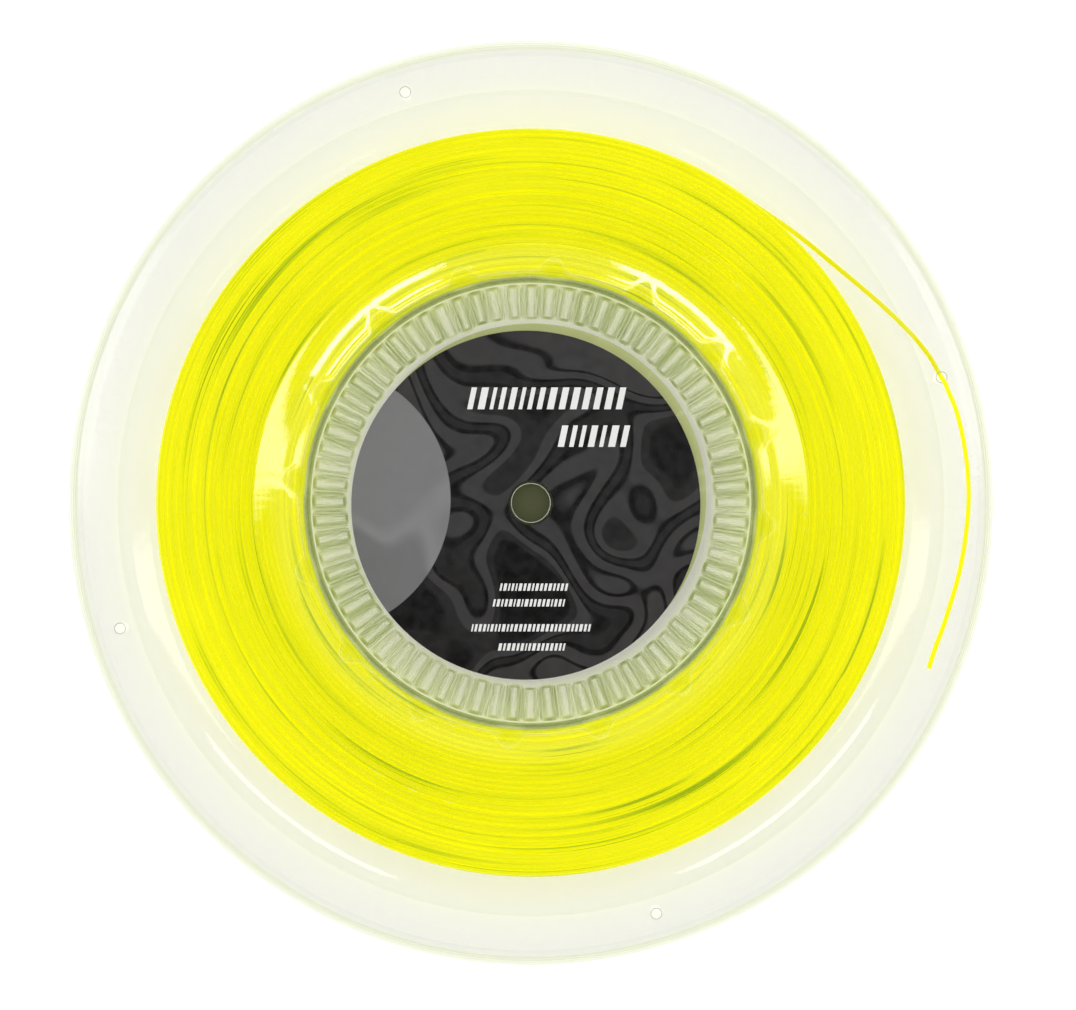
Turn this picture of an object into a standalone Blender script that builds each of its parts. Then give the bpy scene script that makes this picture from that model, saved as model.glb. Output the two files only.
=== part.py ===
"""Reel of racket string: two clear half shells, a label on each side and one long string.

Metres, +Z up. The reel lies on its rear lip, with its axis on +Z through the origin.
Heights named h are measured from the mid-plane, where the two halves meet.
"""

from math import atan2, cos, hypot, pi, radians, sin

import bmesh
import bpy
from mathutils import Matrix, Vector

# Flange of each half, from the rim inwards
RIM_RADIUS = 0.1200
RIM_DROP = 0.0026
LIP_OUTER_RADIUS = 0.1174
LIP_INNER_RADIUS = 0.1093
LIP_HEIGHT = 0.0132
STEP_RADIUS = 0.1070
STEP_HEIGHT = 0.0122
FLAT_OUTER_RADIUS = 0.0974
FLAT_INNER_RADIUS = 0.0727
FLAT_HEIGHT = 0.01035
SHEET = 0.0006

# Drum, ribbed ring and label floor
DRUM_RADIUS = 0.0597
DRUM_HEIGHT = 0.0119
DRUM_FOOT_RADIUS = 0.0575
NOTCH_FOOT_RADIUS = 0.05847
NOTCH_FOOT_HEIGHT = 0.0060
GUSSET_COUNT = 16
GUSSET_RADIUS = 0.0631
GUSSET_RING_RADIUS = 0.0636
RIB_COUNT = 72
RIB_RISE = 0.0020
RIB_OUTER_RADIUS = 0.0564
RIB_INNER_RADIUS = 0.0489
FLOOR_RADIUS = 0.0475
FLOOR_HEIGHT = 0.00075
SPINDLE_HOLE_RADIUS = 0.0048

# Small holes in the lip. The pattern's angle is also that of a gusset and of a groove between ribs.
PATTERN_ANGLE = radians(17)
RIM_HOLE_COUNT = 4
RIM_HOLE_RADIUS = 0.0013
RIM_HOLE_CIRCLE = 0.1114

# Labels
LABEL_RADIUS = 0.0455
LABEL_THICKNESS = 0.00025
LABEL_GAP = 0.0002
LABEL_HOLE_RADIUS = 0.00585
FRONT_LABEL_CENTRE = (-0.0013, -0.0006)
REAR_LABEL_CENTRE = (0.0003, 0.0013)

# String
STRING_DIAMETER = 0.0013
WINDING_RADIUS = 0.0974
WINDING_HALF_WIDTH = 0.0094
WINDING_SHOULDER = (0.0008, 0.0012)
WAIST_RADIUS = 0.0587
WAIST_EDGE = (0.0600, 0.0061)
WINDING_INNER_RADIUS = 0.0625
TAIL_POINT_SPACING = 0.002
TAIL_SUBDIVISIONS = 20

# Turning steps
HOLE_STEPS = 24
DRUM_STEPS = 2 * RIB_COUNT
FLANGE_STEPS = 72
RIM_HOLE_STEPS = 16
LABEL_QUARTER_STEPS = 18

MID_PLANE = LIP_HEIGHT
TOLERANCE = 0.00001

# The free end of the string, as angle in degrees, radius and h. It leaves the winding between the
# flanges, climbs through a lip hole and lies along the front lip.
TAIL_ROUTE = [
    (53.0, 0.0984, 0.0046),
    (50.0, 0.0984, 0.0049),
    (46.6, 0.0986, 0.0053),
    (42.0, 0.0992, 0.0059),
    (38.0, 0.1003, 0.0065),
    (34.0, 0.1021, 0.0072),
    (30.0, 0.1043, 0.0079),
    (26.0, 0.1068, 0.0086),
    (23.5, 0.1084, 0.0091),
    (21.6, 0.1095, 0.0096),
    (20.1, 0.1103, 0.0101),
    (18.8, 0.1108, 0.0105),
    (18.0, 0.1110, 0.0110),
    (17.45, 0.1112, 0.0119),
    (17.0, 0.1114, 0.0129),
    (16.55, 0.1116, 0.01395),
    (16.0, 0.1118, 0.0147),
    (15.1, 0.1120, 0.01505),
    (14.1, 0.1123, 0.01485),
    (12.9, 0.1127, 0.01445),
    (11.3, 0.1130, 0.0142),
    (9.6, 0.1132, 0.01415),
    (5.2, 0.1135, 0.01415),
    (0.4, 0.1135, 0.01415),
    (-4.8, 0.1130, 0.01415),
    (-9.4, 0.1125, 0.01415),
    (-13.4, 0.1119, 0.01415),
    (-16.9, 0.1116, 0.01415),
    (-19.4, 0.1114, 0.01415),
    (-22.6, 0.1117, 0.01415),
]


def clear_scene():
    for obj in list(bpy.data.objects):
        bpy.data.objects.remove(obj)


def new_collection(name):
    collection = bpy.data.collections.new(name)
    bpy.context.scene.collection.children.link(collection)
    return collection


def material(name, colour, roughness, alpha=1.0):
    made = bpy.data.materials.new(name)
    made.use_nodes = True
    shader = made.node_tree.nodes["Principled BSDF"]
    shader.inputs["Base Color"].default_value = (*colour, 1.0)
    shader.inputs["Roughness"].default_value = roughness
    shader.inputs["Metallic"].default_value = 0.0
    shader.inputs["Alpha"].default_value = alpha
    made.diffuse_color = (*colour, alpha)
    return made


def mesh_object(name, bm, collection, finish=None):
    mesh = bpy.data.meshes.new(name)
    bm.to_mesh(mesh)
    bm.free()
    obj = bpy.data.objects.new(name, mesh)
    collection.objects.link(obj)
    if finish:
        mesh.materials.append(finish)
    mesh.shade_smooth()
    mesh.set_sharp_from_angle(angle=radians(35))
    return obj


def mitred_normals(outline):
    """For each point of an outline that runs outwards, the step to a parallel outline 1 below it."""
    points = [Vector(point) for point in outline]
    runs = [(after - before).normalized() for before, after in zip(points, points[1:])]
    sides = [Vector((run.y, -run.x)) for run in runs]
    sides = [sides[0], *sides, sides[-1]]
    return [(a + b) / (1 + a.dot(b)) for a, b in zip(sides, sides[1:])]


def shell_bands():
    """The face of a half that looks away from the mid-plane, as (radius, h), in bands of equal steps."""
    hole = [(SPINDLE_HOLE_RADIUS, FLOOR_HEIGHT)]
    drum = [
        (FLOOR_RADIUS, FLOOR_HEIGHT),
        (RIB_INNER_RADIUS, FLOOR_HEIGHT),
        (RIB_OUTER_RADIUS, FLOOR_HEIGHT),
        (DRUM_FOOT_RADIUS, FLOOR_HEIGHT),
        (NOTCH_FOOT_RADIUS, NOTCH_FOOT_HEIGHT),
        (DRUM_RADIUS, DRUM_HEIGHT),
        (GUSSET_RING_RADIUS, slope_height(GUSSET_RING_RADIUS)),
    ]
    flange = [
        (FLAT_INNER_RADIUS, FLAT_HEIGHT),
        (FLAT_OUTER_RADIUS, FLAT_HEIGHT),
        (STEP_RADIUS, STEP_HEIGHT),
        (LIP_INNER_RADIUS, LIP_HEIGHT),
        (LIP_OUTER_RADIUS, LIP_HEIGHT),
        (RIM_RADIUS - 0.3 * RIM_DROP, LIP_HEIGHT - 0.3 * RIM_DROP),
        (RIM_RADIUS, LIP_HEIGHT - RIM_DROP),
    ]
    return [(HOLE_STEPS, hole), (DRUM_STEPS, drum), (FLANGE_STEPS, flange)]


def slope_height(radius):
    """h of the inner slope, which falls from the drum's edge to the flat part of the flange."""
    share = (radius - DRUM_RADIUS) / (FLAT_INNER_RADIUS - DRUM_RADIUS)
    return DRUM_HEIGHT + share * (FLAT_HEIGHT - DRUM_HEIGHT)


def turned_surface(bands, side):
    """An open turned surface. Each vertex keeps the step to the sheet's other face in two layers."""
    bm = bmesh.new()
    outwards = bm.verts.layers.float.new("outwards")
    upwards = bm.verts.layers.float.new("upwards")
    normals = iter(mitred_normals([point for _, band in bands for point in band]))
    edge_loop = []
    for steps, band in bands:
        line = []
        for radius, h in band:
            vertex = bm.verts.new((radius, 0, side * h))
            normal = next(normals)
            vertex[outwards] = normal.x * SHEET
            vertex[upwards] = side * normal.y * SHEET
            line.append(vertex)
        edges = [bm.edges.new(pair) for pair in zip(line, line[1:])]
        bmesh.ops.spin(
            bm,
            geom=line + edges,
            cent=(0, 0, 0),
            axis=(0, 0, 1),
            angle=2 * pi,
            steps=steps,
            use_merge=True,
        )
        if edge_loop:
            bmesh.ops.bridge_loops(bm, edges=edge_loop + ring_edges(bm, band[0]))
        edge_loop = ring_edges(bm, band[-1])
    bmesh.ops.triangulate(bm, faces=bm.faces[:], quad_method="FIXED")
    return bm


def ring_edges(bm, point):
    """The edges that run round the axis at the radius of an outline's point."""
    radius = point[0]
    near = TOLERANCE
    return [e for e in bm.edges if all(abs(hypot(v.co.x, v.co.y) - radius) < near for v in e.verts)]


def press_pattern(bm, side):
    """Presses the ribs, which stand away from the mid-plane, and the gussets into the surface."""
    gusset_pitch = 2 * pi / GUSSET_COUNT
    drop = slope_height(GUSSET_RADIUS) - DRUM_HEIGHT
    for vertex in bm.verts:
        radius = hypot(vertex.co.x, vertex.co.y)
        angle = atan2(vertex.co.y, vertex.co.x)
        if RIB_INNER_RADIUS - TOLERANCE < radius < RIB_OUTER_RADIUS + TOLERANCE:
            vertex.co.z += side * RIB_RISE * (1 - cos(RIB_COUNT * angle)) / 2
        on_gusset = abs(angle - gusset_pitch * round(angle / gusset_pitch)) < TOLERANCE
        if abs(radius - DRUM_RADIUS) < TOLERANCE and on_gusset:
            vertex.co.x *= GUSSET_RADIUS / DRUM_RADIUS
            vertex.co.y *= GUSSET_RADIUS / DRUM_RADIUS
            vertex.co.z += side * drop


def thicken(bm):
    """Adds the sheet's other face, a sheet's thickness away, and the edges between the two."""
    outwards = bm.verts.layers.float["outwards"]
    upwards = bm.verts.layers.float["upwards"]
    made = bmesh.ops.extrude_face_region(bm, geom=bm.faces[:], use_keep_orig=True)
    for vertex in made["geom"]:
        if isinstance(vertex, bmesh.types.BMVert):
            away = Vector((vertex.co.x, vertex.co.y, 0)).normalized()
            vertex.co += away * vertex[outwards] + Vector((0, 0, vertex[upwards]))
    bmesh.ops.recalc_face_normals(bm, faces=bm.faces[:])


def half_shell(name, side, collection, finish, cutter):
    bm = turned_surface(shell_bands(), side)
    press_pattern(bm, side)
    thicken(bm)
    obj = mesh_object(name, bm, collection, finish)
    obj.location.z = MID_PLANE
    obj.rotation_euler.z = PATTERN_ANGLE
    holes = obj.modifiers.new("rim_holes", "BOOLEAN")
    holes.operation = "DIFFERENCE"
    holes.solver = "EXACT"
    holes.object = cutter
    return obj


def rim_hole_cutter(collection):
    bm = bmesh.new()
    for index in range(RIM_HOLE_COUNT):
        turn = Matrix.Rotation(PATTERN_ANGLE + 2 * pi * index / RIM_HOLE_COUNT, 4, "Z")
        place = Matrix.Translation((RIM_HOLE_CIRCLE, 0, MID_PLANE))
        bmesh.ops.create_cone(
            bm,
            cap_ends=True,
            segments=RIM_HOLE_STEPS,
            radius1=RIM_HOLE_RADIUS,
            radius2=RIM_HOLE_RADIUS,
            depth=2.5 * MID_PLANE,
            matrix=turn @ place,
        )
    cutter = mesh_object("rim_hole_cutter", bm, collection)
    cutter.hide_render = True
    cutter.display_type = "WIRE"
    return cutter


def winding(collection, finish):
    """All the turns on the drum as one turned ring, narrower where it meets the gussets."""
    shoulder_inset, shoulder_depth = WINDING_SHOULDER
    waist_radius, waist_height = WAIST_EDGE
    outline = [
        (WINDING_INNER_RADIUS, WINDING_HALF_WIDTH),
        (WINDING_RADIUS - shoulder_inset, WINDING_HALF_WIDTH),
        (WINDING_RADIUS, WINDING_HALF_WIDTH - shoulder_depth),
        (WINDING_RADIUS, shoulder_depth - WINDING_HALF_WIDTH),
        (WINDING_RADIUS - shoulder_inset, -WINDING_HALF_WIDTH),
        (WINDING_INNER_RADIUS, -WINDING_HALF_WIDTH),
        (waist_radius, -waist_height),
        (WAIST_RADIUS, 0),
        (waist_radius, waist_height),
    ]
    bm = bmesh.new()
    ring = [bm.verts.new((radius, 0, h)) for radius, h in outline]
    for pair in zip(ring, ring[1:] + ring[:1]):
        bm.edges.new(pair)
    obj = mesh_object("string_winding", bm, collection, finish)
    obj.location.z = MID_PLANE
    turn = obj.modifiers.new("turned", "SCREW")
    turn.steps = FLANGE_STEPS
    turn.render_steps = FLANGE_STEPS
    turn.use_merge_vertices = True
    turn.merge_threshold = 10 * TOLERANCE
    return obj


def add_circle(curve, centre, radius):
    """Adds a circle to a flat outline, as four Bezier points with round handles."""
    spline = curve.splines.new("BEZIER")
    spline.bezier_points.add(3)
    spline.use_cyclic_u = True
    reach = radius * 4 / 3 * (2**0.5 - 1)
    for index, point in enumerate(spline.bezier_points):
        angle = index * pi / 2
        out = Vector((cos(angle), sin(angle), 0))
        along = Vector((-sin(angle), cos(angle), 0))
        point.co = Vector((*centre, 0)) + out * radius
        point.handle_left = point.co - along * reach
        point.handle_right = point.co + along * reach


def label(name, centre, side, collection, finish, hole):
    curve = bpy.data.curves.new(name, "CURVE")
    curve.dimensions = "2D"
    curve.fill_mode = "BOTH"
    curve.resolution_u = LABEL_QUARTER_STEPS
    curve.extrude = LABEL_THICKNESS / 2
    add_circle(curve, centre, LABEL_RADIUS)
    if hole:
        add_circle(curve, (0, 0), LABEL_HOLE_RADIUS)
    curve.materials.append(finish)
    obj = bpy.data.objects.new(name, curve)
    obj.location.z = MID_PLANE + side * (FLOOR_HEIGHT + LABEL_GAP + LABEL_THICKNESS / 2)
    collection.objects.link(obj)
    return obj


def route_points():
    """The tail's route as points in space."""
    points = []
    for degrees, radius, h in TAIL_ROUTE:
        angle = radians(degrees)
        points.append(Vector((radius * cos(angle), radius * sin(angle), MID_PLANE + h)))
    return points


def smooth_points(route, spacing):
    """Points at equal spacing along a centripetal Catmull-Rom curve through the route."""
    padded = [2 * route[0] - route[1], *route, 2 * route[-1] - route[-2]]
    fine = []
    for p0, p1, p2, p3 in zip(padded, padded[1:], padded[2:], padded[3:]):
        t1 = (p1 - p0).length ** 0.5
        t2 = t1 + (p2 - p1).length ** 0.5
        t3 = t2 + (p3 - p2).length ** 0.5
        for step in range(TAIL_SUBDIVISIONS):
            t = t1 + (t2 - t1) * step / TAIL_SUBDIVISIONS
            a1 = p0.lerp(p1, t / t1)
            a2 = p1.lerp(p2, (t - t1) / (t2 - t1))
            a3 = p2.lerp(p3, (t - t2) / (t3 - t2))
            b1 = a1.lerp(a2, t / t2)
            b2 = a2.lerp(a3, (t - t1) / (t3 - t1))
            fine.append(b1.lerp(b2, (t - t1) / (t2 - t1)))
    fine.append(route[-1])
    total = sum((b - a).length for a, b in zip(fine, fine[1:]))
    step_length = total / round(total / spacing)
    points = [fine[0]]
    travelled = 0.0
    for a, b in zip(fine, fine[1:]):
        length = (b - a).length
        while travelled + length >= step_length * len(points) - 1e-9:
            points.append(a.lerp(b, (step_length * len(points) - travelled) / length))
        travelled += length
    return points


def tail(collection, finish):
    curve = bpy.data.curves.new("string_tail", "CURVE")
    curve.dimensions = "3D"
    curve.bevel_depth = STRING_DIAMETER / 2
    curve.bevel_resolution = 2
    curve.use_fill_caps = True
    points = smooth_points(route_points(), TAIL_POINT_SPACING)
    spline = curve.splines.new("POLY")
    spline.points.add(len(points) - 1)
    for target, point in zip(spline.points, points):
        target.co = (*point, 1)
    curve.materials.append(finish)
    obj = bpy.data.objects.new("string_tail", curve)
    collection.objects.link(obj)
    return obj


def main():
    clear_scene()
    parts = new_collection("string_reel")
    cutters = new_collection("cutters")
    clear_plastic = material("clear_plastic", (0.90, 0.93, 0.84), 0.08, alpha=0.3)
    label_paper = material("label_paper", (0.02, 0.02, 0.02), 0.25)
    string_yellow = material("string_yellow", (0.85, 0.90, 0.02), 0.35)
    cutter = rim_hole_cutter(cutters)
    half_shell("front_half", 1, parts, clear_plastic, cutter)
    half_shell("rear_half", -1, parts, clear_plastic.copy(), cutter)
    label("front_label", FRONT_LABEL_CENTRE, 1, parts, label_paper, hole=True)
    label("rear_label", REAR_LABEL_CENTRE, -1, parts, label_paper.copy(), hole=False)
    winding(parts, string_yellow)
    tail(parts, string_yellow.copy())


main()
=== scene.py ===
"""Looks of the string reel: fine clear shells, 200 m of string in its turns, printed labels."""

from math import cos, pi, radians, sin, tan, tau

import bmesh
import bpy
import numpy as np
from mathutils import Matrix, Vector


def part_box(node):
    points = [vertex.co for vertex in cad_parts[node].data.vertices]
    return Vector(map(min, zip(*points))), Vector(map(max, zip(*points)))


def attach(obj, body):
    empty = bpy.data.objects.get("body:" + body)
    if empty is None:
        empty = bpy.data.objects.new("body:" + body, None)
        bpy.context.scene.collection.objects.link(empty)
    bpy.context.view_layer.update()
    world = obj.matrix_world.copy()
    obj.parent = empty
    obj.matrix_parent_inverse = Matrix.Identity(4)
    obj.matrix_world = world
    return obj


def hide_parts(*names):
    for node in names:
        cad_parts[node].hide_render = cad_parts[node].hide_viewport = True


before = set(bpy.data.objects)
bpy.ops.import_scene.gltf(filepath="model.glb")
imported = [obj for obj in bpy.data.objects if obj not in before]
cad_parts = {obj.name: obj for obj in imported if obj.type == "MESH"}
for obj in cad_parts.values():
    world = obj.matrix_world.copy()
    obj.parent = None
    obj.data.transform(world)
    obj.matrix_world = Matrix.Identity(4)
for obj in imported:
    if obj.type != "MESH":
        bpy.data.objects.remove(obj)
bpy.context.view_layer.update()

# ---------------------------------------------------------------- sizes
# The frame's own sizes, in metres
front_low, front_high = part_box("front_half")
rear_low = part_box("rear_half")[0]
winding_low, winding_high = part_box("string_winding")
label_low, label_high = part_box("front_label")
rear_label_low, rear_label_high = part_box("rear_label")
MID_PLANE = (front_high[2] + rear_low[2]) / 2
LIP_HEIGHT = front_high[2] - MID_PLANE
RIM_RADIUS = (front_high[0] - front_low[0]) / 2
PACK_RADIUS = (winding_high[0] - winding_low[0]) / 2

# Flange of a half shell, heights from the mid-plane
RIM_DROP = 0.0026
LIP_INNER_RADIUS = 0.1082
STEP_RADIUS = 0.1070
STEP_HEIGHT = 0.0124
FLAT_OUTER_RADIUS = 0.0962
FLAT_INNER_RADIUS = 0.0727
FLAT_HEIGHT = 0.01035
STEP_SLOPE = 0.38          # of the flange where it meets the step
SHEET = 0.0006
RIM_EDGE = 0.0001          # the straight end of the rim's fold
HOLE_MARGIN = 0.0012
FOOT_FILLET = 0.0004
DRUM_FILLET = 0.0003
STEP_FILLET = 0.0005
LIP_FILLET = 0.0006
FLAT_PLACES = [0.0800, 0.0880]     # radii of extra rows of the grid where the sheet is level
LIP_PLACES = [0.1115, 0.1145]
FLOOR_PLACES = [0.018, 0.032, 0.0465]
RIB_PLACES = [0.0510, 0.0530, 0.0550]

# Drum, gussets, ribs and label floor
DRUM_RADIUS = 0.0597
DRUM_HEIGHT = 0.0119
DOME_STEEPEST_RADIUS = 0.0632
BEAD_WIDTH = 0.0008
BEAD_RISE = 0.00028
DRUM_FOOT_RADIUS = 0.0575
NOTCH_FOOT_HEIGHT = 0.0055
GUSSET_COUNT = 16
GUSSET_REACH = 0.0034
GUSSET_HALF_ANGLE = radians(4.6)
RIB_COUNT = 72
RIB_SHARE = 0.80           # a rib's width as a share of the pitch
RIB_RISE = 0.0018
RIB_OUTER_RADIUS = 0.0570
RIB_INNER_RADIUS = 0.0478
RIB_END = 0.0012
RIB_SHIFT = radians(0.9)   # between the ribs of the two shells
RIB_EDGE = 3.0             # how square a rib is: 2 is a round back
RIB_UNEVEN_PLACE = 0.06    # in pitches
RIB_UNEVEN_WIDTH = 0.12    # as shares of the rib's own size
RIB_UNEVEN_RISE = 0.30
RIB_UNEVEN_END = 0.0005
FLOOR_HEIGHT = 0.00075
SPINDLE_HOLE_RADIUS = 0.0048
RIM_HOLE_RADIUS = 0.0013
RIM_HOLE_CIRCLE = 0.1114
RIM_HOLE_COUNT = 4
PUNCH_RAISE = 0.00016
PUNCHED_EDGE = 0.00010     # half the thickness of a lip hole's pale edge, a painted highlight
SPINDLE_EDGE = 0.00014
SPINDLE_EDGE_GAP = 0.0003  # between the spindle hole and the middle of its edge
PATTERN_ANGLE = radians(17)
SHELL_STEPS = 720

# String
STRING_DIAMETER = 0.0013
STRING_SIDES = 6
STRING_TWIST = 5.2        # radians per metre, in the free end
WOUND_TWIST = 0.35        # the same for the string on the drum

# The free end of the string: angle in degrees, radius, height from the mid-plane. It follows the
# CAD solid, apart from a start that hugs the winding more closely.
TAIL_ROUTE = [
    (53.0, 0.0969, 0.0046),
    (50.0, 0.0973, 0.0049),
    (46.6, 0.0980, 0.0053),
    (42.0, 0.0991, 0.0059),
    (38.0, 0.1003, 0.0065),
    (34.0, 0.1021, 0.0072),
    (30.0, 0.1043, 0.0079),
    (26.0, 0.1068, 0.0086),
    (23.5, 0.1084, 0.0091),
    (21.6, 0.1095, 0.0096),
    (20.1, 0.1103, 0.0101),
    (18.8, 0.1108, 0.0105),
    (18.0, 0.1110, 0.0110),
    (17.45, 0.1112, 0.0119),
    (17.0, 0.1114, 0.0129),
    (16.55, 0.1116, 0.01395),
    (16.0, 0.1118, 0.0147),
    (15.1, 0.1120, 0.01505),
    (14.1, 0.1123, 0.01485),
    (12.9, 0.1127, 0.01445),
    (11.3, 0.1130, 0.0142),
    (9.6, 0.1132, 0.01415),
    (5.2, 0.1135, 0.01415),
    (0.4, 0.1135, 0.01415),
    (-4.8, 0.1130, 0.01415),
    (-9.4, 0.1125, 0.01415),
    (-13.4, 0.1119, 0.01415),
    (-16.9, 0.1116, 0.01415),
    (-19.4, 0.1114, 0.01415),
    (-22.6, 0.1117, 0.01415),
]

# Camera and lights
RIM_IN_IMAGE = 0.8587      # the rim's diameter as a share of the image's width
CAMERA_HEIGHT = 2.4
CAMERA_ASIDE = (0.00187, -0.00055)
LIGHT_DISTANCE = 2.0
SOFTBOXES = [              # name, azimuth, zenith angle, width, height, radiance, lean
    ("box_east", 14.5, 15.5, 0.165, 0.66, 3.5, -7),
    ("box_west", 168.5, 15.5, 0.165, 0.66, 3.5, 7),
    ("strip_north_east", 53, 22.5, 0.45, 0.125, 8.0, 0),
    ("strip_north_west", 131, 22.5, 0.50, 0.125, 8.0, 0),
]
FLOOR_GLOW = 0.37
STRING_PAINTED_GLOW = 0.325        # daylight colours send back more light than they get; the glow is partly that, partly painted light
# painted light: the free end glows too, partly as a daylight colour, partly painted
FREE_END_PAINTED_GLOW = 0.2
BACKING_PAINTED_GLOW = 0.24        # painted light: the backing glows, standing in for light that comes through the paper

random = np.random.default_rng(7)
rib_unevenness = random.uniform(-1, 1, (4, RIB_COUNT))


# ---------------------------------------------------------------- camera, floor and lights
def add_camera():
    data = bpy.data.cameras.new("camera")
    camera = bpy.data.objects.new("camera", data)
    bpy.context.scene.collection.objects.link(camera)
    camera.location = (*CAMERA_ASIDE, CAMERA_HEIGHT)
    rim_depth = CAMERA_HEIGHT - (MID_PLANE + LIP_HEIGHT - RIM_DROP)
    data.lens = data.sensor_width * RIM_IN_IMAGE * rim_depth / (2 * RIM_RADIUS)
    data.clip_end = 20
    bpy.context.scene.camera = camera


def add_floor():
    bm = bmesh.new()
    bmesh.ops.create_grid(bm, x_segments=1, y_segments=1, size=4.0)
    mesh = bpy.data.meshes.new("floor")
    bm.to_mesh(mesh)
    bm.free()
    floor = bpy.data.objects.new("floor", mesh)
    bpy.context.scene.collection.objects.link(floor)
    made, nodes, link = new_material("floor_white")
    shader = nodes.new("ShaderNodeBsdfPrincipled")
    shader.inputs["Base Color"].default_value = (0.90, 0.90, 0.90, 1)
    shader.inputs["Roughness"].default_value = 0.9
    shader.inputs["Specular IOR Level"].default_value = 0.0
    shader.inputs["Emission Color"].default_value = (0.98, 0.98, 1.08, 1)
    shader.inputs["Emission Strength"].default_value = FLOOR_GLOW
    link(shader.outputs[0], nodes["output"].inputs["Surface"])
    mesh.materials.append(made)


def add_light(name, azimuth, zenith, width, height, radiance, lean):
    """A softbox that faces the reel. width runs round the reel, height towards the zenith.
    The angles are in degrees, and lean turns the box in its own plane."""
    data = bpy.data.lights.new(name, "AREA")
    data.shape = "RECTANGLE"
    data.size = width
    data.size_y = height
    data.energy = radiance * width * height * pi
    lamp = bpy.data.objects.new(name, data)
    bpy.context.scene.collection.objects.link(lamp)
    azimuth, zenith = radians(azimuth), radians(zenith)
    away = Vector((sin(zenith) * cos(azimuth), sin(zenith) * sin(azimuth), cos(zenith)))
    lamp.location = away * LIGHT_DISTANCE
    side = Vector((-sin(azimuth), cos(azimuth), 0))
    upright = Matrix((side, away.cross(side), away)).transposed()
    lamp.rotation_euler = (upright @ Matrix.Rotation(radians(lean), 3, "Z")).to_euler()


def add_world():
    world = bpy.data.worlds.new("studio")
    bpy.context.scene.world = world
    world.use_nodes = True
    nodes, link = world.node_tree.nodes, world.node_tree.links.new
    where = nodes.new("ShaderNodeTexCoord")
    split = nodes.new("ShaderNodeSeparateXYZ")
    link(where.outputs["Generated"], split.inputs[0])
    # pale walls and a dark ceiling, so that the level sheet mirrors nothing bright
    stops = [(0.0, 1.3), (0.55, 1.3), (0.83, 0.55), (0.93, 0.30), (0.975, 0.02), (1.0, 0.0)]
    greys = [(place, (value,) * 3) for place, value in stops]
    ramp = add_ramp(nodes, link, split.outputs["Z"], greys)
    link(ramp.outputs[0], nodes["Background"].inputs["Color"])


# ---------------------------------------------------------------- small helpers
def new_material(name):
    made = bpy.data.materials.new(name)
    made.use_nodes = True
    nodes = made.node_tree.nodes
    nodes.clear()
    output = nodes.new("ShaderNodeOutputMaterial")
    output.name = "output"
    return made, nodes, made.node_tree.links.new


def add_noise(nodes, link, scale, detail=3.0, distortion=0.0):
    """A noise texture in object space, in repeats per metre."""
    where = nodes.new("ShaderNodeTexCoord")
    noise = nodes.new("ShaderNodeTexNoise")
    noise.inputs["Scale"].default_value = scale
    noise.inputs["Detail"].default_value = detail
    noise.inputs["Distortion"].default_value = distortion
    link(where.outputs["Object"], noise.inputs["Vector"])
    return noise


def add_ramp(nodes, link, source, stops, interpolation="LINEAR"):
    ramp = nodes.new("ShaderNodeValToRGB")
    ramp.color_ramp.interpolation = interpolation
    for place, colour in stops[1:-1]:
        ramp.color_ramp.elements.new(place)
    for element, (place, colour) in zip(ramp.color_ramp.elements, stops):
        element.position = place
        element.color = (*colour, 1)
    link(source, ramp.inputs[0])
    return ramp


def add_range(nodes, link, source, low, high):
    """Stretches a noise, which keeps near 0.5, to run from low to high."""
    ranged = nodes.new("ShaderNodeMapRange")
    ranged.inputs["From Min"].default_value = 0.3
    ranged.inputs["From Max"].default_value = 0.7
    ranged.inputs["To Min"].default_value = low
    ranged.inputs["To Max"].default_value = high
    link(source, ranged.inputs["Value"])
    return ranged


def calculate(nodes, link, kind, operation, *values):
    """A node of the kind Math or VectorMath, with each input linked to a socket or set."""
    node = nodes.new("ShaderNode" + kind)
    node.operation = operation
    for socket, value in zip(node.inputs, values):
        if isinstance(value, bpy.types.NodeSocket):
            link(value, socket)
        else:
            socket.default_value = value
    return node


def mix_colours(nodes, link, factor, first, second):
    mix = nodes.new("ShaderNodeMix")
    mix.data_type = "RGBA"
    link(factor, mix.inputs["Factor"])
    link(first, mix.inputs["A"])
    link(second, mix.inputs["B"])
    return mix


def mix_shaders(nodes, link, first, second):
    mix = nodes.new("ShaderNodeMixShader")
    link(first.outputs[0], mix.inputs[1])
    link(second.outputs[0], mix.inputs[2])
    return mix


def from_axis(nodes, link):
    """Sockets of a point's vector from the reel's axis, and of that vector's length."""
    where = nodes.new("ShaderNodeTexCoord")
    flat = calculate(nodes, link, "VectorMath", "MULTIPLY", where.outputs["Object"], (1, 1, 0))
    reach = calculate(nodes, link, "VectorMath", "LENGTH", flat.outputs["Vector"])
    return flat.outputs["Vector"], reach.outputs["Value"]


def mesh_piece(name, vertices, faces, material, node=None, sharp=30):
    mesh = bpy.data.meshes.new(name)
    mesh.from_pydata(vertices, [], faces)
    mesh.validate()
    piece = bpy.data.objects.new(name, mesh)
    bpy.context.scene.collection.objects.link(piece)
    mesh.materials.append(material)
    mesh.shade_smooth()
    mesh.set_sharp_from_angle(angle=radians(sharp))
    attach(piece, "root")
    if node:
        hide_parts(node)
    return piece


# ---------------------------------------------------------------- materials
def by_radius(nodes, link, stops):
    """A value that depends on the distance from the reel's axis: stops are (metres, value)."""
    reach = from_axis(nodes, link)[1]
    share = calculate(nodes, link, "Math", "DIVIDE", reach, RIM_RADIUS)
    return add_ramp(nodes, link, share.outputs[0], [
        (radius / RIM_RADIUS, (value, value, value)) for radius, value in stops
    ])


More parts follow.
